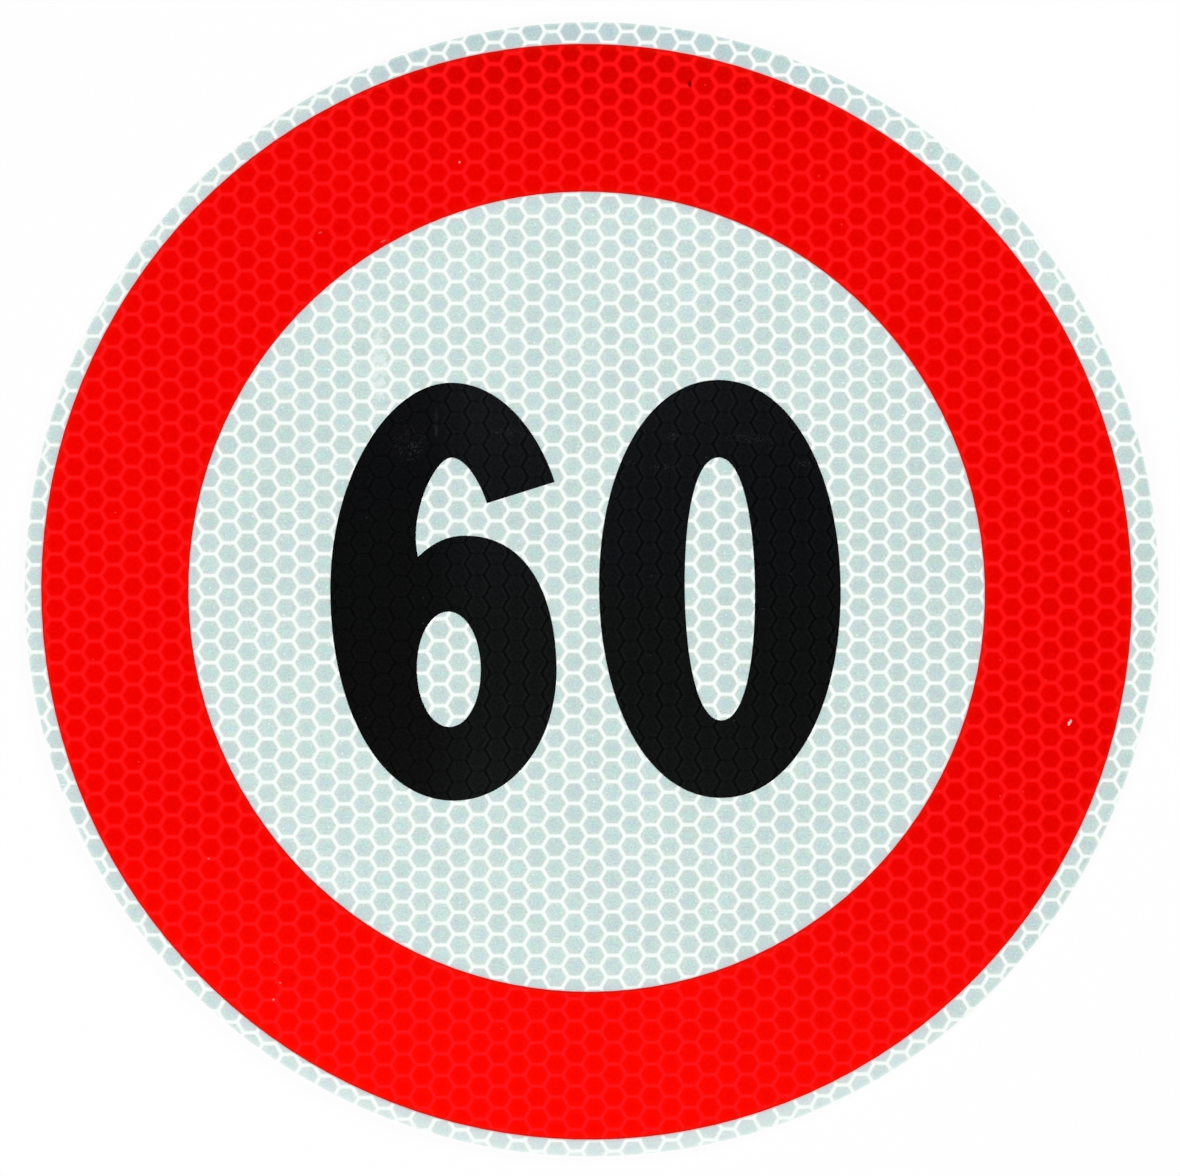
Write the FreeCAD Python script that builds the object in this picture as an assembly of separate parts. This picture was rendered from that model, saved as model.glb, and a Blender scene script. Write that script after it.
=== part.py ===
import FreeCAD, Part
import math
import os

# Vehicle speed limit plate: a round metal blank faced with white reflective
# sheeting, screen printed with a red border and a black two-figure number.
# Millimetres. The plate lies on its back: the back is on Z = 0, the printed
# face looks up +Z and +Y points to the top of the figures. The origin is the
# centre of the back.

# Blank and sheeting, laminated and then punched out together
disc_diameter = 200.0
plate_thickness = 1.0
back_edge_radius = 0.25
sheet_thickness = 0.4

# Print. Red and black are two passes, each laid down a little off centre
ink_thickness = 0.05
print_tilt = 0.6
red_shift_x = -0.9
red_shift_y = -0.45
black_shift_x = -1.1
black_shift_y = -0.2

# Red border: white rim left outside it, and its own width
rim_width = 3.6
border_width = 26.0

# Stretch of the red screen: longer by a small share along one slant, shorter across it
red_stretch = 0.0034
red_stretch_angle = 114.0

# Figure six, from left to right and then from foot to crown
stem_stroke = 15.1
six_counter_width = 11.3
bowl_stroke = 13.35
foot_stroke = 13.0
six_counter_height = 20.35
roof_stroke = 13.35
mouth_height = 13.8
hook_stroke = 13.2

# Free end of the six's hook, and the notch where its bowl leaves the stem
mouth_gap = 5.7
hook_end_length = 12.5
hook_end_slope = 16.8
notch_drop = 3.6
notch_inset = 0.4
crown_shift = 0.8
roof_shift = 3.0

# Figure zero, as tall as the six
zero_side_stroke = 15.1
zero_counter_width = 12.4
zero_end_stroke = 13.65

# Space between the two figures
figure_gap = 7.65

# Length of a curve's handles as a share of the quarter that it rounds
roundness = 0.56
crown_roundness = 0.50
heel_roundness = 0.61
shoulder_roundness = 0.68
zero_end_roundness = 0.60
zero_counter_roundness = 0.66

# Handles at the six's cut end, in its mouth and at its notch
hook_outer_share = 0.50
hook_inner_share = 0.41
mouth_rise_share = 0.46
mouth_crown_share = 0.45
mouth_lean = 12.0
notch_share = 0.22
notch_angle = 36.0

disc_radius = disc_diameter / 2
border_outer_radius = disc_radius - rim_width
border_inner_radius = border_outer_radius - border_width
sheet_bottom = plate_thickness
ink_bottom = sheet_bottom + sheet_thickness

six_width = stem_stroke + six_counter_width + bowl_stroke
bowl_height = foot_stroke + six_counter_height + roof_stroke
figure_height = bowl_height + mouth_height + hook_stroke
zero_width = 2 * zero_side_stroke + zero_counter_width
number_width = six_width + figure_gap + zero_width


def point(x, y):
    """A point on the flat that a figure is drawn on."""
    return FreeCAD.Vector(x, y, 0)


def direction(degrees):
    """Unit vector at an angle from +X."""
    turn = math.radians(degrees)
    return point(math.cos(turn), math.sin(turn))


def curve(start, start_handle, end_handle, end):
    """One cubic curve from its two ends and their handles."""
    bezier = Part.BezierCurve()
    bezier.setPoles([start, start_handle, end_handle, end])
    return bezier.toShape()


def quarter(crest, side, crest_share, side_share):
    """Quarter of an oval, level at its crest or foot and upright at its side."""
    crest_handle = point(crest.x + crest_share * (side.x - crest.x), crest.y)
    side_handle = point(side.x, side.y + side_share * (crest.y - side.y))
    return curve(crest, crest_handle, side_handle, side)


def oval(left, foot, width, height, crest_share, side_share):
    """Wire of an upright oval that fills a box."""
    middle_x = left + width / 2
    middle_y = foot + height / 2
    quarters = []
    for crest_y in (foot, foot + height):
        for side_x in (left, left + width):
            crest = point(middle_x, crest_y)
            side = point(side_x, middle_y)
            quarters.append(quarter(crest, side, crest_share, side_share))
    return Part.Wire(Part.__sortEdges__(quarters))


def six_outline():
    """Outer wire of the six, with its box's lower left corner at zero."""
    counter_middle = stem_stroke + six_counter_width / 2
    crown_x = counter_middle + crown_shift
    roof_x = counter_middle + roof_shift

    crown = point(crown_x, figure_height)
    stem_side = point(0, figure_height / 2)
    foot = point(crown_x, 0)
    bowl_side = point(six_width, foot_stroke + six_counter_height / 2)
    roof = point(roof_x, bowl_height)
    notch = point(stem_stroke + notch_inset, bowl_height - notch_drop)
    mouth_crown = point(crown_x, figure_height - hook_stroke)

    end_run = hook_end_length * math.cos(math.radians(hook_end_slope))
    end_rise = hook_end_length * math.sin(math.radians(hook_end_slope))
    hook_inner = point(six_width - end_run, bowl_height + mouth_gap)
    hook_outer = point(six_width, bowl_height + mouth_gap + end_rise)
    along_hook = direction(90 + hook_end_slope)

    hook_back = curve(
        hook_outer,
        hook_outer + along_hook * (hook_outer_share * (crown.y - hook_outer.y)),
        point(crown_x + crown_roundness * (hook_outer.x - crown_x), crown.y),
        crown,
    )
    roof_to_notch = curve(
        roof,
        point(roof_x + roundness * (notch.x - roof_x), roof.y),
        notch + direction(notch_angle) * (notch_share * (roof_x - notch.x)),
        notch,
    )
    mouth_back = curve(
        notch,
        notch + direction(90 + mouth_lean) * (mouth_rise_share * (mouth_crown.y - notch.y)),
        point(crown_x + mouth_crown_share * (notch.x - crown_x), mouth_crown.y),
        mouth_crown,
    )
    hook_front = curve(
        mouth_crown,
        point(crown_x + mouth_crown_share * (hook_inner.x - crown_x), mouth_crown.y),
        hook_inner + along_hook * (hook_inner_share * (mouth_crown.y - hook_inner.y)),
        hook_inner,
    )
    edges = [
        hook_back,
        quarter(crown, stem_side, crown_roundness, roundness),
        quarter(foot, stem_side, heel_roundness, roundness),
        quarter(foot, bowl_side, roundness, roundness),
        quarter(roof, bowl_side, shoulder_roundness, roundness),
        roof_to_notch,
        mouth_back,
        hook_front,
        Part.LineSegment(hook_inner, hook_outer).toShape(),
    ]
    return Part.Wire(Part.__sortEdges__(edges))


def printed(outline, counter):
    """A figure's layer of black ink, from outlines drawn about the number's centre."""
    face = Part.Face(outline).cut(Part.Face(counter))
    layer = face.extrude(FreeCAD.Vector(0, 0, ink_thickness)).Solids[0]
    layer.rotate(FreeCAD.Vector(0, 0, 0), FreeCAD.Vector(0, 0, 1), print_tilt)
    layer.translate(FreeCAD.Vector(black_shift_x, black_shift_y, ink_bottom))
    return layer


def make_base_plate():
    blank = Part.makeCylinder(disc_radius, plate_thickness)
    back_edges = [edge for edge in blank.Edges if edge.BoundBox.ZMax < plate_thickness / 2]
    return blank.makeFillet(back_edge_radius, back_edges)


def make_reflective_sheet():
    return Part.makeCylinder(disc_radius, sheet_thickness, FreeCAD.Vector(0, 0, sheet_bottom))


def stretched_disc(radius):
    """Flat disc as the stretched red screen prints it, about the print's centre."""
    rim = Part.Ellipse(point(0, 0), radius * (1 + red_stretch), radius * (1 - red_stretch)).toShape()
    rim.rotate(FreeCAD.Vector(0, 0, 0), FreeCAD.Vector(0, 0, 1), red_stretch_angle)
    return Part.Face(Part.Wire(rim))


def make_red_border():
    ring = stretched_disc(border_outer_radius).cut(stretched_disc(border_inner_radius))
    layer = ring.extrude(FreeCAD.Vector(0, 0, ink_thickness)).Solids[0]
    layer.translate(FreeCAD.Vector(red_shift_x, red_shift_y, ink_bottom))
    return layer


def make_numeral_six():
    corner = point(-number_width / 2, -figure_height / 2)
    outline = six_outline()
    outline.translate(corner)
    counter = oval(
        corner.x + stem_stroke,
        corner.y + foot_stroke,
        six_counter_width,
        six_counter_height,
        roundness,
        roundness,
    )
    return printed(outline, counter)


def make_numeral_zero():
    left = number_width / 2 - zero_width
    foot = -figure_height / 2
    outline = oval(left, foot, zero_width, figure_height, zero_end_roundness, roundness)
    counter = oval(
        left + zero_side_stroke,
        foot + zero_end_stroke,
        zero_counter_width,
        figure_height - 2 * zero_end_stroke,
        zero_counter_roundness,
        roundness,
    )
    return printed(outline, counter)


pieces = {
    "base_plate": make_base_plate(),
    "reflective_sheet": make_reflective_sheet(),
    "red_border": make_red_border(),
    "numeral_six": make_numeral_six(),
    "numeral_zero": make_numeral_zero(),
}

os.makedirs("parts", exist_ok=True)
for name, shape in pieces.items():
    shape.exportStep(f"parts/{name}.step")
    print(name, "valid", shape.isValid(), "solids", len(shape.Solids), "volume", round(shape.Volume, 2))
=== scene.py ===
import math

import bmesh
import bpy
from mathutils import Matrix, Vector


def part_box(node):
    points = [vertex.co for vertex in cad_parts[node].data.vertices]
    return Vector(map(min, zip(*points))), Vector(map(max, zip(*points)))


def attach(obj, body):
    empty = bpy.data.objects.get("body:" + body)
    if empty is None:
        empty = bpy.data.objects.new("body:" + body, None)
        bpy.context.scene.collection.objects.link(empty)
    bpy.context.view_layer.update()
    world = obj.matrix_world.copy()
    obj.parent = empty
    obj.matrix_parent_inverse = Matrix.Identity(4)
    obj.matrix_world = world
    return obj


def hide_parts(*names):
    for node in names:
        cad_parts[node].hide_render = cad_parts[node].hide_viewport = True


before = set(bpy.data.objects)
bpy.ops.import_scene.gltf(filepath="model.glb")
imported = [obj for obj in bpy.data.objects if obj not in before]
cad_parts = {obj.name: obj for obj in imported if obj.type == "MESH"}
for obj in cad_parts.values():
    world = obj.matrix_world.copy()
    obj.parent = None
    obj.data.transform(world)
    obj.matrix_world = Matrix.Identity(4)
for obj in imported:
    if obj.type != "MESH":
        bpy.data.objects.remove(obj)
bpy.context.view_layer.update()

# Speed limit plate: a metal blank faced with honeycomb sheeting, printed in red and black.
# Metres, in the frame of the solids. Tones are display values from 0 to 255.
MM = 0.001
WHITE = (1.0, 1.0, 1.0, 1.0)

# Honeycomb of sealed cells: flats at top and bottom, corners left and right
COLUMN_PITCH = 3.369 * MM
ROW_PITCH = 3.834 * MM
ROW_TILT = math.radians(0.093)
FIRST_CELL = Vector((0.095 * MM, -3.25 * MM, 0.0))
SPARE_CELLS = 5

# How the sheeting was drawn as it was laid: columns lean by a share of their height,
# and cells narrow towards the right by a share for each metre
COLUMN_LEAN = 0.00287
NARROWING = 0.024

# Groove along the seal lines: its width, its depth, and the shoulder's share of both
SEAL_WIDTH = 0.66 * MM
SEAL_DEPTH = 0.045 * MM
SEAL_SHOULDER = 0.6
CORNER_CUT = 0.2 * MM

# Levels of the sheeting and the ink, and the disc's size, read from the solids
SHEET_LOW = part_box("reflective_sheet")[0].z
SHEET_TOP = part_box("reflective_sheet")[1].z
INK_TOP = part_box("red_border")[1].z
DISC_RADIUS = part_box("base_plate")[1].x

# How deep the ink keys into the sheeting, the spare height for a trim, and the reach of a weld
INK_BITE = 0.004 * MM
ZONE_MARGIN = 0.2 * MM
WELD = 0.001 * MM

# Stretch of the red print along a slant, as in the solid
RED_STRETCH = 0.0034
RED_STRETCH_ANGLE = math.radians(114.0)

# The photograph's framing, in the plane of the printed face
VIEW_WIDTH = 208.1 * MM
VIEW_CENTRE = Vector((-0.30 * MM, 0.21 * MM, 0.0))
CAMERA_HEIGHT = 1.6
CAMERA_REACH = 50.0
SENSOR_WIDTH = 36.0

# Two soft lamps on a slant across the plate, and a floor just under it
LAMP_ASIDE = 0.69
LAMP_HEIGHT = 0.68
LAMP_SIZE = 0.6
LAMP_POWER = 12.85
FLOOR_RADIUS = 8.0
FLOOR_SIDES = 96
FLOOR_DROP = 0.05 * MM


def srgb(red, green, blue):
    """A colour written as 0 to 255 display values, as linear values for a socket."""
    linear = []
    for value in (red, green, blue):
        share = value / 255
        low = share / 12.92
        high = ((share + 0.055) / 1.055) ** 2.4
        linear.append(low if share <= 0.04045 else high)
    return (*linear, 1.0)


class Nodes:
    """Adds and links the nodes of one tree."""

    def __init__(self, tree):
        self.tree = tree
        tree.nodes.clear()

    def add(self, kind, values=None, **settings):
        """A new node, with its settings and with values or links for its inputs."""
        made = self.tree.nodes.new(kind)
        for name, setting in settings.items():
            setattr(made, name, setting)
        for key, value in (values or {}).items():
            self.put(made.inputs[key], value)
        return made

    def output(self, kind, values=None, **settings):
        """The first output of a new node."""
        return self.add(kind, values, **settings).outputs[0]

    def put(self, socket, value):
        """Links an output to a socket, or sets the socket to a plain value."""
        if isinstance(value, bpy.types.NodeSocket):
            self.tree.links.new(value, socket)
        else:
            socket.default_value = value

    def math(self, operation, *values):
        return self.output("ShaderNodeMath", dict(enumerate(values)), operation=operation)

    def vector(self, operation, *values):
        made = self.add("ShaderNodeVectorMath", dict(enumerate(values)), operation=operation)
        return made.outputs["Value" if operation == "LENGTH" else "Vector"]

    def axes(self, vector):
        """The three parts of a vector."""
        return self.add("ShaderNodeSeparateXYZ", {0: vector}).outputs

    def flat(self, vector):
        """A vector with its height taken out."""
        return self.vector("MULTIPLY", vector, (1.0, 1.0, 0.0))

    def span(self, value, start, end, low=0.0, high=1.0, easing="LINEAR"):
        """Goes from low to high as the value goes from start to end."""
        values = {0: value, 1: start, 2: end, 3: low, 4: high}
        return self.output("ShaderNodeMapRange", values, interpolation_type=easing)

    def ramp(self, value, start, end, low=0.0, high=1.0):
        """The same, eased at both ends."""
        return self.span(value, start, end, low, high, "SMOOTHSTEP")

    def between(self, share, first, second, data_type, part):
        """Goes from the first to the second as the share goes from 0 to 1."""
        made = self.add("ShaderNodeMix", data_type=data_type)
        values = {"Factor_Float": share, "A_" + part: first, "B_" + part: second}
        for socket in made.inputs:
            if socket.identifier in values:
                self.put(socket, values[socket.identifier])
        return next(socket for socket in made.outputs if socket.identifier == "Result_" + part)

    def mix(self, share, first, second):
        """A colour between two colours."""
        return self.between(share, first, second, "RGBA", "Color")

    def paint(self, colour, tone, mask, strength):
        """Lays a tone over a colour where a mask is, at a strength."""
        return self.mix(self.math("MULTIPLY", mask, strength), colour, tone)

    def shade(self, colour, factor):
        """A colour made lighter or darker by a number or by a second colour."""
        return self.vector("MULTIPLY", colour, factor)

    def noise(self, place, grains, detail=2.0, output="Fac"):
        """Soft noise with a number of grains to each millimetre."""
        values = {"Vector": place, "Scale": grains / MM, "Detail": detail}
        return self.add("ShaderNodeTexNoise", values).outputs[output]

    def around(self, place, centre, turn, size):
        """Place seen from a centre, turned, and measured in shares of a size."""
        values = {"Vector": place, "Location": centre, "Rotation": (0.0, 0.0, turn), "Scale": size}
        return self.flat(self.output("ShaderNodeMapping", values, vector_type="TEXTURE"))


def drawn(nodes, place, lean, narrowing):
    """How far the drawn sheeting has moved at a place."""
    x, y, _ = nodes.axes(place)
    leant = nodes.output("ShaderNodeCombineXYZ", {0: nodes.math("MULTIPLY", y, lean)})
    narrowed = nodes.vector("MULTIPLY", nodes.flat(place), nodes.math("MULTIPLY", x, narrowing))
    return nodes.vector("MULTIPLY", nodes.vector("ADD", leant, narrowed), (-1.0, -1.0, 0.0))


def make_cell():
    """One cell of the honeycomb: a flat top, a shoulder, and half the groove round it."""
    side = 2 * COLUMN_PITCH / 3
    flat = ROW_PITCH / 2
    corners = [
        Vector((side, 0)),
        Vector((side / 2, flat)),
        Vector((-side / 2, flat)),
        Vector((-side, 0)),
        Vector((-side / 2, -flat)),
        Vector((side / 2, -flat)),
    ]

    def drawn_in(share):
        """The corners drawn in to a share of their size, each cut to two points."""
        points = []
        for index, corner in enumerate(corners):
            before = corners[index - 1] - corner
            after = corners[(index + 1) % len(corners)] - corner
            points.append(share * corner + CORNER_CUT * before.normalized())
            points.append(share * corner + CORNER_CUT * after.normalized())
        return points

    top_share = 1 - SEAL_WIDTH / ROW_PITCH
    shoulder_share = 1 - SEAL_SHOULDER * SEAL_WIDTH / ROW_PITCH
    rings = [
        (drawn_in(top_share), 0.0),
        (drawn_in(shoulder_share), -SEAL_SHOULDER * SEAL_DEPTH),
        (corners, -SEAL_DEPTH),
    ]
    vertices = [(point.x, point.y, level) for points, level in rings for point in points]
    count = 2 * len(corners)
    faces = [tuple(range(count))]
    for index in range(count):
        following = (index + 1) % count
        faces.append((following, index, count + index, count + following))
    for index in range(len(corners)):
        following = (index + 1) % len(corners)
        left = count + 2 * index
        right = left + 1
        next_left = count + 2 * following
        corner = 2 * count + index
        next_corner = 2 * count + following
        faces.append((right, left, corner))
        faces.append((next_left, right, corner, next_corner))
    mesh = bpy.data.meshes.new("honeycomb_cell")
    mesh.from_pydata(vertices, [], faces)
    return bpy.data.objects.new("honeycomb_cell", mesh)


def make_zone(node):
    """A solid with a node's outline, from the back of the sheeting to above the ink."""
    low_corner, high_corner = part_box(node)
    middle = (low_corner.z + high_corner.z) / 2
    shape = bmesh.new()
    shape.from_mesh(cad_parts[node].data)
    bmesh.ops.remove_doubles(shape, verts=shape.verts, dist=WELD)
    for vertex in shape.verts:
        vertex.co.z = SHEET_LOW if vertex.co.z < middle else INK_TOP + ZONE_MARGIN
    mesh = bpy.data.meshes.new("zone_" + node)
    shape.to_mesh(mesh)
    shape.free()
    return bpy.data.objects.new("zone_" + node, mesh)


def lattice_points(nodes, given, place):
    """Points of the lattice within reach, with each second column half a row higher."""
    width = nodes.math("MULTIPLY", nodes.math("SUBTRACT", given["Columns"], 1), given["Column Pitch"])
    height = nodes.math("MULTIPLY", nodes.math("SUBTRACT", given["Rows"], 1), given["Row Pitch"])
    counts = {"Vertices X": given["Columns"], "Vertices Y": given["Rows"]}
    grid = nodes.output("GeometryNodeMeshGrid", {"Size X": width, "Size Y": height} | counts)
    column = nodes.math("ROUND", nodes.math("DIVIDE", nodes.axes(place)[0], given["Column Pitch"]))
    odd = nodes.math("FLOORED_MODULO", column, 2)
    rise = nodes.math("MULTIPLY", odd, nodes.math("DIVIDE", given["Row Pitch"], 2))
    offset = nodes.output("ShaderNodeCombineXYZ", {1: rise})
    staggered = nodes.output("GeometryNodeSetPosition", {"Geometry": grid, "Offset": offset})
    seat = {"Translation": given["First Cell"], "Rotation": given["Row Tilt"]}
    turned = nodes.output("GeometryNodeTransform", {"Geometry": staggered} | seat)
    outside = nodes.math("GREATER_THAN", nodes.vector("LENGTH", place), given["Reach"])
    return nodes.output("GeometryNodeDeleteGeometry", {"Geometry": turned, "Selection": outside})


def welded(nodes, given, geometry):
    """Geometry whose meeting points are made one."""
    return nodes.output("GeometryNodeMergeByDistance", {"Geometry": geometry, "Distance": given["Weld"]})


def laid_cells(nodes, given, place, points):
    """One cell on each point, joined into a sheet with its grooves and drawn as it was laid."""
    cell = nodes.add("GeometryNodeObjectInfo", {"Object": given["Cell"]}).outputs["Geometry"]
    copies = {"Points": points, "Instance": cell, "Rotation": given["Row Tilt"]}
    cells = nodes.output("GeometryNodeInstanceOnPoints", copies)
    joined = welded(nodes, given, nodes.output("GeometryNodeRealizeInstances", {0: cells}))
    moved = drawn(nodes, place, given["Column Lean"], given["Narrowing"])
    return nodes.output("GeometryNodeSetPosition", {"Geometry": joined, "Offset": moved})


def thickened(nodes, given, sheet):
    """A closed slab between a sheet at the underside and its raised copy."""
    level = nodes.output("ShaderNodeCombineXYZ", {2: given["Underside"]})
    under = nodes.output("GeometryNodeTransform", {"Geometry": sheet, "Translation": level})
    lift = {"Offset": (0.0, 0.0, 1.0), "Offset Scale": given["Thickness"], "Individual": False}
    raised = nodes.output("GeometryNodeExtrudeMesh", {"Mesh": under} | lift, mode="FACES")
    turned_under = nodes.output("GeometryNodeFlipFaces", {"Mesh": under})
    both = nodes.add("GeometryNodeJoinGeometry")
    nodes.put(both.inputs[0], raised)
    nodes.put(both.inputs[0], turned_under)
    return welded(nodes, given, both.outputs[0])


def trimmed(nodes, given, slab):
    """The part of a slab that lies in the zone."""
    zone = nodes.add("GeometryNodeObjectInfo", {"Object": given["Zone"]}).outputs["Geometry"]
    trim = nodes.add("GeometryNodeMeshBoolean", operation="INTERSECT", solver="MANIFOLD")
    operands = next(socket for socket in trim.inputs if socket.is_multi_input)
    nodes.put(operands, slab)
    nodes.put(operands, zone)
    return trim.outputs[0]


def honeycomb_layer():
    """Nodes that lay cells over the disc, thicken them and trim them to a zone."""
    tree = bpy.data.node_groups.new("honeycomb_layer", "GeometryNodeTree")
    sockets = {
        "Cell": "NodeSocketObject",
        "Zone": "NodeSocketObject",
        "Column Pitch": "NodeSocketFloat",
        "Row Pitch": "NodeSocketFloat",
        "Row Tilt": "NodeSocketVector",
        "First Cell": "NodeSocketVector",
        "Column Lean": "NodeSocketFloat",
        "Narrowing": "NodeSocketFloat",
        "Columns": "NodeSocketInt",
        "Rows": "NodeSocketInt",
        "Reach": "NodeSocketFloat",
        "Underside": "NodeSocketFloat",
        "Thickness": "NodeSocketFloat",
        "Weld": "NodeSocketFloat",
        "Material": "NodeSocketMaterial",
    }
    for name, kind in sockets.items():
        tree.interface.new_socket(name, in_out="INPUT", socket_type=kind)
    tree.interface.new_socket("Geometry", in_out="OUTPUT", socket_type="NodeSocketGeometry")

    nodes = Nodes(tree)
    given = nodes.add("NodeGroupInput").outputs
    place = nodes.output("GeometryNodeInputPosition")
    points = lattice_points(nodes, given, place)
    sheet = laid_cells(nodes, given, place, points)
    layer = trimmed(nodes, given, thickened(nodes, given, sheet))
    flat = nodes.output("GeometryNodeSetShadeSmooth", {"Geometry": layer, "Shade Smooth": False})
    whole = nodes.output("GeometryNodeRealizeInstances", {0: flat})
    finish = {"Geometry": whole, "Material": given["Material"]}
    nodes.add("NodeGroupOutput", {0: nodes.output("GeometryNodeSetMaterial", finish)})
    return tree


def honeycomb_piece(name, tree, settings, node):
    """A plain mesh made by the honeycomb nodes, standing for one of the solids."""
    maker = bpy.data.objects.new(name + "_maker", bpy.data.meshes.new(name + "_maker"))
    bpy.context.scene.collection.objects.link(maker)
    modifier = maker.modifiers.new("honeycomb", "NODES")
    modifier.node_group = tree
    for item in tree.interface.items_tree:
        if item.in_out == "INPUT":
            modifier[item.identifier] = settings[item.name]
    graph = bpy.context.evaluated_depsgraph_get()
    mesh = bpy.data.meshes.new_from_object(maker.evaluated_get(graph))
    mesh.name = name
    maker.modifiers.remove(modifier)
    bpy.data.objects.remove(maker)
    piece = bpy.data.objects.new(name, mesh)
    bpy.context.scene.collection.objects.link(piece)
    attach(piece, "root")
    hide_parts(node)


def honeycomb_pattern():
    """Shader group: where a point lies, its cell, and its millimetres from the seal lines."""
    tree = bpy.data.node_groups.new("honeycomb_pattern", "ShaderNodeTree")
    outputs = {
        "Place": "NodeSocketVector",
        "Cell": "NodeSocketVector",
        "Seam": "NodeSocketFloat",
        "Slanted Seam": "NodeSocketFloat",
    }
    for name, kind in outputs.items():
        tree.interface.new_socket(name, in_out="OUTPUT", socket_type=kind)

    # Place within the nearer of two nested sets of cells, in shares of a row
    nodes = Nodes(tree)
    place = nodes.add("ShaderNodeTexCoord").outputs["Object"]
    root = math.sqrt(3) / 2
    half = 0.5
    laid = nodes.vector("SUBTRACT", place, drawn(nodes, place, COLUMN_LEAN, NARROWING))
    flat = nodes.around(laid, FIRST_CELL, ROW_TILT, (COLUMN_PITCH / root, ROW_PITCH, 1.0))
    reach = (root, half, 0.0)
    back = (-root, -half, 0.0)
    even = nodes.vector("WRAP", flat, reach, back)
    odd = nodes.vector("WRAP", nodes.vector("SUBTRACT", flat, reach), reach, back)
    nearer = nodes.math("LESS_THAN", nodes.vector("LENGTH", even), nodes.vector("LENGTH", odd))
    local = nodes.between(nearer, odd, even, "VECTOR", "Vector")

    # Largest of the three distances across the cell, eased so that corners are round
    across, along, _ = nodes.axes(local)
    lean = nodes.math("MULTIPLY", across, root)
    rise = nodes.math("MULTIPLY", along, half)
    rising = nodes.math("ABSOLUTE", nodes.math("ADD", lean, rise))
    falling = nodes.math("ABSOLUTE", nodes.math("SUBTRACT", lean, rise))
    upright = nodes.math("ABSOLUTE", along)
    roundness = 0.07
    slanted = nodes.math("SMOOTH_MAX", rising, falling, roundness)
    reached = nodes.math("SMOOTH_MAX", slanted, upright, roundness)
    row = ROW_PITCH / MM
    seam = nodes.math("MULTIPLY", nodes.math("SUBTRACT", half, reached), row)
    slanted_seam = nodes.math("MULTIPLY", nodes.math("SUBTRACT", half, slanted), row)
    cell = nodes.vector("SUBTRACT", flat, local)
    results = {"Place": place, "Cell": cell, "Seam": seam, "Slanted Seam": slanted_seam}
    nodes.add("NodeGroupOutput", results)
    return tree


def new_material(name):
    material = bpy.data.materials.new(name)
    material.use_nodes = True
    return material, Nodes(material.node_tree)


def surface(nodes, values):
    """Ends a material in one plain shader."""
    shader = nodes.output("ShaderNodeBsdfPrincipled", values)
    nodes.add("ShaderNodeOutputMaterial", {"Surface": shader})


def cell_shade(nodes, cell, spread):
    """A number around one that differs from cell to cell."""
    step = (0.25, 0.25, 0.25)
    chance = nodes.add("ShaderNodeTexWhiteNoise", {"Vector": nodes.vector("SNAP", cell, step)})
    return nodes.span(chance.outputs["Value"], 0.0, 1.0, 1 - spread, 1 + spread)


def grain_shade(nodes, place, grains, spread):
    """A number around one that differs from grain to grain."""
    return nodes.span(nodes.noise(place, grains), 0.25, 0.75, 1 - spread, 1 + spread)


def tint_shade(nodes, place, grains, spread):
    """A colour around white that drifts from hue to hue."""
    hue = nodes.noise(place, grains, 1.0, "Color")
    gain = (spread,) * 3
    least = (1 - spread / 2,) * 3
    return nodes.vector("MULTIPLY_ADD", hue, gain, least)


def ragged_edge(nodes, place):
    """A number around nothing that makes the edges of spots uneven."""
    return nodes.span(nodes.noise(place, 2.5), 0.25, 0.75, -0.35, 0.35)


def worn_spot(nodes, place, ragged, x, y, length, width, turn):
    """Mask of a ragged spot: its middle and size in millimetres, and its turn in degrees."""
    size = (length * MM / 2, width * MM / 2, 1.0)
    local = nodes.around(place, (x * MM, y * MM, 0.0), math.radians(turn), size)
    return nodes.ramp(nodes.math("ADD", nodes.vector("LENGTH", local), ragged), 1.1, 0.7)


def scattered_dots(nodes, place, spacing, radius, share):
    """Mask of tiny dots: their spacing and radius in millimetres, and the share of places with one."""
    values = {"Vector": place, "Scale": 1 / (spacing * MM)}
    field = nodes.add("ShaderNodeTexVoronoi", values, voronoi_dimensions="2D")
    size = radius / spacing
    dot = nodes.ramp(field.outputs["Distance"], 1.4 * size, 0.6 * size)
    chosen = nodes.math("LESS_THAN", nodes.axes(field.outputs["Color"])[0], share)
    return nodes.math("MULTIPLY", dot, chosen)


def into_border(nodes, place):
    """How far a place lies inside the outline of the red border, and below zero outside it."""
    low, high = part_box("red_border")
    centre = (low + high) / 2
    reach = [(vertex.co - centre).xy.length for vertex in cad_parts["red_border"].data.vertices]
    stretch = (1 + RED_STRETCH, 1 - RED_STRETCH, 1.0)
    radius = nodes.vector("LENGTH", nodes.around(place, centre, RED_STRETCH_ANGLE, stretch))
    from_inside = nodes.math("SUBTRACT", radius, min(reach) / (1 - RED_STRETCH))
    from_outside = nodes.math("SUBTRACT", max(reach) / (1 + RED_STRETCH), radius)
    return nodes.math("MINIMUM", from_inside, from_outside)


def edge_fade(nodes, distance, reach, strength):
    """Falls from a strength at an edge to nothing at a reach, quickly at first."""
    share = nodes.span(distance, 0.0, reach, 1.0, 0.0)
    return nodes.math("MULTIPLY", nodes.math("POWER", share, 3.0), strength)


def ink_roughness(nodes, place, worn):
    """Roughness of printed ink: glossy, a little uneven, and duller where it is worn."""
    uneven = nodes.span(nodes.noise(place, 1.5), 0.25, 0.75, 0.08, 0.12)
    return nodes.math("MULTIPLY_ADD", worn, 0.3, uneven)


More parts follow.
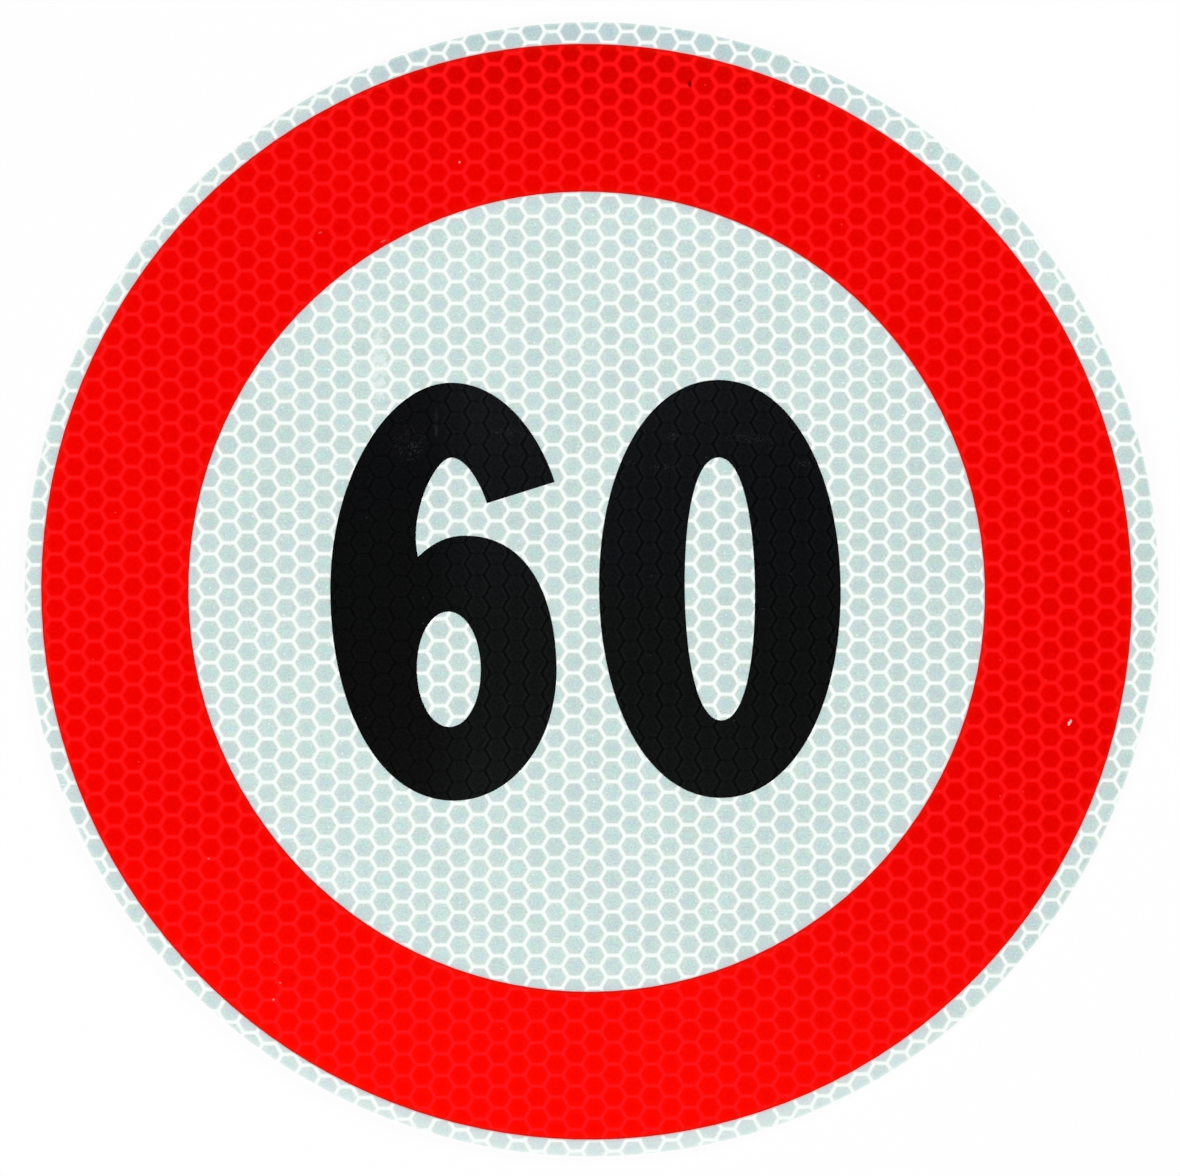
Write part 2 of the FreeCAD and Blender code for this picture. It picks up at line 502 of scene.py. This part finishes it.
def white_sheeting(pattern):
    """Pale beaded cells between white seal lines, under a clear film."""
    material, nodes = new_material("white_sheeting")
    comb = nodes.add("ShaderNodeGroup", node_tree=pattern).outputs
    place = comb["Place"]
    seam = comb["Seam"]
    x, y, _ = nodes.axes(place)
    seal_line = srgb(248, 255, 252)
    beads_by_line = srgb(208.0, 223.1, 218.8)
    beads = srgb(198.3, 222.1, 219.8)
    bright_bead = srgb(232, 248, 250)
    painted_shade_top = (0.845, 0.885, 0.91, 1.0)
    blush = srgb(205, 201, 211)
    grey_speck = srgb(150, 160, 160)
    red_fringe = srgb(250, 184, 184)

    # Beads: cooler in the middle of a cell, with grain, a drifting tint and a few bright ones
    body = nodes.mix(nodes.ramp(seam, 0.5, 1.4), beads_by_line, beads)
    body = nodes.shade(body, tint_shade(nodes, place, 0.9, 0.2))
    body = nodes.shade(body, grain_shade(nodes, place, 2.8, 0.14))
    body = nodes.shade(body, cell_shade(nodes, comb["Cell"], 0.03))
    body = nodes.paint(body, bright_bead, scattered_dots(nodes, place, 2.6, 0.16, 0.2), 0.9)

    # Darker across the middle, painted shade towards the right and greyer painted shade towards the top
    # edge, and painted light paling the foot
    from_middle = nodes.math("ABSOLUTE", nodes.math("SUBTRACT", y, 8 * MM))
    body = nodes.shade(body, nodes.ramp(from_middle, 0.0, 50 * MM, 0.972, 1.005))
    body = nodes.shade(body, nodes.mix(nodes.ramp(y, 72 * MM, 100 * MM), WHITE, painted_shade_top))
    body = nodes.shade(body, nodes.span(x, -DISC_RADIUS, DISC_RADIUS, 1.02, 0.97))
    body = nodes.mix(nodes.ramp(y, -60 * MM, -100 * MM, 0.0, 0.28), body, seal_line)

    # A blush where red light strays from the border, a streak rubbed pale, and a grey speck
    from_red = nodes.math("MULTIPLY", into_border(nodes, place), -1.0)
    body = nodes.mix(edge_fade(nodes, from_red, 3.8 * MM, 0.6), body, blush)
    ragged = ragged_edge(nodes, place)
    patchy = nodes.ramp(nodes.noise(place, 0.7), 0.35, 0.6, 0.15, 0.5)
    streak = worn_spot(nodes, place, ragged, -37.5, 39.5, 15.0, 2.8, 90.0)
    body = nodes.paint(body, seal_line, streak, patchy)
    speck = worn_spot(nodes, place, ragged, 26.1, 50.9, 0.5, 0.4, 0.0)
    body = nodes.paint(body, grey_speck, speck, 0.6)

    # Seal lines, the pressed edge of the disc, and a fringe of red beside the border
    colour = nodes.mix(nodes.ramp(seam, 0.505, 0.115), body, seal_line)
    radius = nodes.vector("LENGTH", nodes.flat(place))
    pressed = nodes.ramp(radius, DISC_RADIUS - 0.6 * MM, DISC_RADIUS, 0.0, 0.35)
    colour = nodes.mix(pressed, colour, seal_line)
    fringe = nodes.ramp(from_red, 0.42 * MM, 0.05 * MM, 0.0, 0.8)
    colour = nodes.mix(fringe, colour, red_fringe)
    roughness = nodes.ramp(seam, 0.2, 0.5, 0.2, 0.12)
    surface(nodes, {"Base Color": colour, "Roughness": roughness, "Specular IOR Level": 0.3})
    return material


def red_ink(pattern):
    """Transparent red over the honeycomb: the seal lines glow through it."""
    material, nodes = new_material("red_ink")
    comb = nodes.add("ShaderNodeGroup", node_tree=pattern).outputs
    place = comb["Place"]
    seam = comb["Seam"]
    x, y, _ = nodes.axes(place)
    red_by_line = srgb(240.2, 2.9, 0)
    red = srgb(239.2, 2.0, 0)
    painted_light_foot = (1.165, 2.9, 1.0, 1.0)
    thin_grain = srgb(246, 14, 9)
    line_glow = srgb(255, 5, 2)
    seal_line = srgb(255, 22.8, 26.2)
    thin_edge = srgb(242, 36, 2)
    dark_bead = srgb(191, 29, 29)
    pinhole = srgb(252, 48, 42)
    chip = srgb(250, 214, 214)
    nick = srgb(92, 0, 0)

    # Cells: painted shade towards the top and the right, and painted light towards the foot
    body = nodes.mix(nodes.ramp(seam, 0.5, 1.3), red_by_line, red)
    body = nodes.shade(body, nodes.ramp(y, 70 * MM, 100 * MM, 1.0, 0.78))
    body = nodes.shade(body, nodes.mix(nodes.ramp(y, -28 * MM, -94 * MM), WHITE, painted_light_foot))
    body = nodes.shade(body, nodes.span(x, -85 * MM, 85 * MM, 1.03, 0.945))
    body = nodes.shade(body, grain_shade(nodes, place, 2.5, 0.07))
    body = nodes.shade(body, cell_shade(nodes, comb["Cell"], 0.024))
    thinner = nodes.ramp(nodes.noise(place, 2.5), 0.5, 0.75, 0.0, 0.35)
    body = nodes.mix(thinner, body, thin_grain)

    # Seal lines, with a glow beside them
    body = nodes.mix(nodes.ramp(seam, 0.68, 0.15), body, line_glow)
    colour = nodes.mix(nodes.ramp(seam, 0.54, 0.0), body, seal_line)

    # Thinner ink near both edges of the border, and a darker bead along them
    from_edge = into_border(nodes, place)
    colour = nodes.mix(edge_fade(nodes, from_edge, 2.4 * MM, 0.25), colour, thin_edge)
    colour = nodes.mix(nodes.ramp(from_edge, 0.5 * MM, 0.1 * MM, 0.0, 0.8), colour, dark_bead)

    # Scattered pinholes, and chips to the white sheeting: middle, length and width, turn, strength
    colour = nodes.mix(scattered_dots(nodes, place, 4.0, 0.14, 0.03), colour, pinhole)
    chips = [
        (84.3, -23.5, 1.2, 0.5, 62.0, 0.7),
        (-23.3, 75.3, 0.42, 0.34, 90.0, 0.5),
        (-47.9, 62.9, 0.7, 0.34, 20.0, 0.06),
        (-49.4, 61.5, 0.45, 0.4, 0.0, 0.04),
        (-36.9, 61.3, 1.2, 0.34, 25.0, 0.09),
        (-56.1, -72.4, 0.46, 0.4, 0.0, 0.2),
        (-54.9, -69.4, 0.46, 0.4, 0.0, 0.1),
        (-67.6, -47.5, 0.42, 0.36, 0.0, 0.18),
    ]
    ragged = ragged_edge(nodes, place)
    worn = 0.0
    for across, up, length, width, turn, strength in chips:
        spot = worn_spot(nodes, place, ragged, across, up, length, width, turn)
        colour = nodes.paint(colour, chip, spot, strength)
        worn = nodes.math("MAXIMUM", spot, worn)

    # Two dark nicks, written the same way, as glossy as the ink
    nicks = [
        (17.3, 89.1, 1.5, 0.75, 100.0, 0.75),
        (-52.7, -68.6, 1.2, 1.2, 0.0, 0.1),
    ]
    for across, up, length, width, turn, strength in nicks:
        spot = worn_spot(nodes, place, ragged, across, up, length, width, turn)
        colour = nodes.paint(colour, nick, spot, strength)
    roughness = ink_roughness(nodes, place, worn)
    surface(nodes, {"Base Color": colour, "Roughness": roughness, "Specular IOR Level": 0.25})
    return material


def black_ink(pattern):
    """Opaque black over the honeycomb, with painted shade in the grooves and painted highlights beside
    them, and rubbed in a few places.
    """
    material, nodes = new_material("black_ink")
    comb = nodes.add("ShaderNodeGroup", node_tree=pattern).outputs
    place = comb["Place"]
    slanted = comb["Slanted Seam"]
    x, y, _ = nodes.axes(place)
    black_foot = srgb(16.4, 18.3, 17.5)
    black_top = srgb(16.4, 18.3, 19.7)
    painted_stem_shade = (0.667, 0.6, 0.6, 1.0)
    painted_side_shade = (0.92, 0.85, 0.87, 1.0)
    pale_speck = srgb(52, 54, 58)

    # Ink: a little bluer towards the top; painted light over the six, with painted shade in its stem and
    # towards the right of the zero; painted shade across the middle and painted light towards tops and
    # feet
    body = nodes.mix(nodes.ramp(y, -25 * MM, 25 * MM), black_foot, black_top)
    shaded_stem = nodes.ramp(x, -19 * MM, -31 * MM)
    body = nodes.shade(body, nodes.ramp(x, 10 * MM, -10 * MM, 1.03, 1.2))
    body = nodes.shade(body, nodes.mix(shaded_stem, WHITE, painted_stem_shade))
    body = nodes.shade(body, nodes.mix(nodes.ramp(x, 16 * MM, 36 * MM), WHITE, painted_side_shade))
    body = nodes.shade(body, nodes.ramp(nodes.math("ABSOLUTE", y), 16 * MM, 42 * MM, 0.95, 1.22))
    body = nodes.shade(body, grain_shade(nodes, place, 2.0, 0.32))

    # Painted shade in faint grooves along all seams, and deeper painted shade with painted highlights on
    # the flanks along the slanted seams, both fainter in the stem of the six
    body = nodes.shade(body, nodes.ramp(comb["Seam"], 0.0, 0.34, 0.7, 1.0))
    painted_groove_shade = nodes.span(shaded_stem, 0.0, 1.0, 0.66, 0.86)
    body = nodes.shade(body, nodes.ramp(slanted, 0.0, 0.34, painted_groove_shade, 1.0))
    painted_flank_highlight = nodes.math("MULTIPLY", nodes.ramp(slanted, 0.14, 0.42), nodes.ramp(slanted, 0.82, 0.4))
    highlight_gain = nodes.span(shaded_stem, 0.0, 1.0, 0.34, 0.12)
    body = nodes.shade(body, nodes.math("MULTIPLY_ADD", painted_flank_highlight, highlight_gain, 1.0))

    # Patches rubbed to pale specks: middle, length and width, and strength
    patches = [
        (-31.8, 24.4, 4.4, 3.4, 0.68),
        (-32.2, 25.8, 6.8, 6.4, 0.26),
        (-14.8, 27.5, 6.0, 1.8, 0.6),
        (14.3, 27.0, 2.8, 1.5, 0.6),
        (28.0, 26.7, 8.5, 2.0, 0.45),
        (6.9, 22.0, 1.4, 1.4, 0.6),
        (12.5, 21.5, 6.0, 1.2, 0.6),
        (37.4, 22.0, 2.6, 1.2, 0.6),
    ]
    ragged = ragged_edge(nodes, place)
    rubbed = 0.0
    for across, up, length, width, strength in patches:
        patch = worn_spot(nodes, place, ragged, across, up, length, width, 0.0)
        rubbed = nodes.math("MAXIMUM", nodes.math("MULTIPLY", patch, strength), rubbed)
    specks = nodes.ramp(nodes.noise(place, 3.8, 0.0), 0.55, 0.74)
    rubbed = nodes.math("MULTIPLY", rubbed, specks)

    # Two upright scratches in line: height of the middle, length and strength. Then stray specks
    scratch_across = -27.4
    scratch_width = 0.5
    upright = 90.0
    for up, length, strength in ((30.6, 2.6, 0.25), (28.0, 2.4, 0.45)):
        scratch = worn_spot(nodes, place, ragged, scratch_across, up, length, scratch_width, upright)
        rubbed = nodes.math("MAXIMUM", nodes.math("MULTIPLY", scratch, strength), rubbed)
    stray = nodes.math("MULTIPLY", scattered_dots(nodes, place, 5.0, 0.14, 0.14), 0.7)
    rubbed = nodes.math("MAXIMUM", stray, rubbed)
    colour = nodes.paint(body, pale_speck, rubbed, 0.7)
    roughness = ink_roughness(nodes, place, rubbed)
    surface(nodes, {"Base Color": colour, "Roughness": roughness, "Specular IOR Level": 0.25})
    return material


def bare_aluminium():
    """Rolled metal with fine lines along one way."""
    material, nodes = new_material("bare_aluminium")
    dull = srgb(188, 190, 193)
    bright = srgb(224, 225, 227)
    place = nodes.add("ShaderNodeTexCoord").outputs["Object"]
    rolled = nodes.vector("MULTIPLY", place, (1.0, 0.02, 1.0))
    lines = nodes.ramp(nodes.noise(rolled, 0.9, 4.0), 0.3, 0.7)
    colour = nodes.mix(lines, dull, bright)
    roughness = nodes.span(lines, 0.0, 1.0, 0.3, 0.45)
    surface(nodes, {"Base Color": colour, "Roughness": roughness, "Metallic": 1.0})
    return material


def dress_plate():
    """Gives every solid its finished piece or its material."""
    pattern = honeycomb_pattern()
    tree = honeycomb_layer()
    common = {
        "Cell": make_cell(),
        "Column Pitch": COLUMN_PITCH,
        "Row Pitch": ROW_PITCH,
        "Row Tilt": (0.0, 0.0, ROW_TILT),
        "First Cell": FIRST_CELL,
        "Column Lean": COLUMN_LEAN,
        "Narrowing": NARROWING,
        "Columns": 2 * math.ceil(DISC_RADIUS / COLUMN_PITCH) + SPARE_CELLS,
        "Rows": 2 * math.ceil(DISC_RADIUS / ROW_PITCH) + SPARE_CELLS,
        "Reach": DISC_RADIUS + ROW_PITCH,
        "Weld": WELD,
    }
    sheet = {
        "Zone": make_zone("reflective_sheet"),
        "Underside": SHEET_LOW - ZONE_MARGIN,
        "Thickness": SHEET_TOP - SHEET_LOW + ZONE_MARGIN,
        "Material": white_sheeting(pattern),
    }
    honeycomb_piece("honeycomb_sheet", tree, common | sheet, "reflective_sheet")

    black = black_ink(pattern)
    prints = [
        ("printed_border", "red_border", "red_ink", red_ink(pattern)),
        ("printed_six", "numeral_six", "black_ink", black),
        ("printed_zero", "numeral_zero", "black_ink", black),
    ]
    for name, node, slot, material in prints:
        layer = {
            "Zone": make_zone(node),
            "Underside": SHEET_TOP - INK_BITE,
            "Thickness": INK_TOP - SHEET_TOP + INK_BITE,
            "Material": material,
        }
        honeycomb_piece(name, tree, common | layer, node)

    metal = bare_aluminium()
    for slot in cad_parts["base_plate"].material_slots:
        slot.material = metal


def pale_floor():
    """Seen as white, with a soft part of the shadow kept close to the plate."""
    material, nodes = new_material("pale_floor")
    path = nodes.add("ShaderNodeLightPath").outputs
    shown = nodes.math("MAXIMUM", path["Is Camera Ray"], path["Is Glossy Ray"])
    shown = nodes.math("MAXIMUM", shown, path["Is Transmission Ray"])
    place = nodes.add("ShaderNodeTexCoord").outputs["Object"]
    even = nodes.ramp(nodes.vector("LENGTH", place), 0.15, 0.5, 0.93, 1.0)
    lit = nodes.output("ShaderNodeBsdfDiffuse", {"Color": (0.92, 0.92, 0.92, 1.0)})
    glow = nodes.output("ShaderNodeEmission", {"Color": WHITE, "Strength": 1.0})
    share = nodes.math("MULTIPLY", shown, even)
    above = nodes.output("ShaderNodeMixShader", {0: share, 1: lit, 2: glow})

    # See-through from below, so that the back of the plate can be looked at
    under = nodes.add("ShaderNodeNewGeometry").outputs["Backfacing"]
    clear = nodes.output("ShaderNodeBsdfTransparent")
    both = nodes.output("ShaderNodeMixShader", {0: under, 1: above, 2: clear})
    nodes.add("ShaderNodeOutputMaterial", {"Surface": both})
    return material


def add_floor():
    """A wide round floor, a hair below the plate."""
    shape = bmesh.new()
    bmesh.ops.create_circle(shape, cap_ends=True, segments=FLOOR_SIDES, radius=FLOOR_RADIUS)
    mesh = bpy.data.meshes.new("floor")
    shape.to_mesh(mesh)
    shape.free()
    mesh.materials.append(pale_floor())
    floor = bpy.data.objects.new("floor", mesh)
    floor.location.z = -FLOOR_DROP
    bpy.context.scene.collection.objects.link(floor)


def add_world():
    """White at the horizon, dim walls and a dark ceiling, so that glossy ink keeps its colour."""
    world = bpy.data.worlds.new("studio")
    bpy.context.scene.world = world
    world.use_nodes = True
    nodes = Nodes(world.node_tree)
    height = nodes.axes(nodes.add("ShaderNodeTexCoord").outputs["Generated"])[2]
    wall = nodes.ramp(height, 0.013, 0.02, 1.0, 0.12)
    ceiling = nodes.ramp(height, 0.35, 0.85, 1.0, 0.06)
    strength = nodes.math("MULTIPLY", wall, ceiling)
    sky = nodes.output("ShaderNodeBackground", {"Color": WHITE, "Strength": strength})
    nodes.add("ShaderNodeOutputWorld", {"Surface": sky})


def add_lamp(name, side):
    """A square soft lamp on one side, facing the middle of the plate."""
    light = bpy.data.lights.new(name, "AREA")
    light.energy = LAMP_POWER
    light.size = LAMP_SIZE
    lamp = bpy.data.objects.new(name, light)
    lamp.location = (side * LAMP_ASIDE, side * LAMP_ASIDE, LAMP_HEIGHT)
    lamp.rotation_euler = (-lamp.location).to_track_quat("-Z", "Y").to_euler()
    lamp.visible_camera = False
    bpy.context.scene.collection.objects.link(lamp)


def add_camera():
    """Straight above the plate, at the photograph's framing."""
    data = bpy.data.cameras.new("camera")
    data.sensor_width = SENSOR_WIDTH
    data.lens = SENSOR_WIDTH * (CAMERA_HEIGHT - SHEET_TOP) / VIEW_WIDTH
    data.clip_end = CAMERA_REACH
    camera = bpy.data.objects.new("camera", data)
    camera.location = VIEW_CENTRE + Vector((0.0, 0.0, CAMERA_HEIGHT))
    bpy.context.scene.collection.objects.link(camera)
    bpy.context.scene.camera = camera


dress_plate()
add_floor()
add_world()
add_lamp("left_lamp", -1)
add_lamp("right_lamp", 1)
add_camera()
bpy.context.scene.view_settings.view_transform = "Standard"
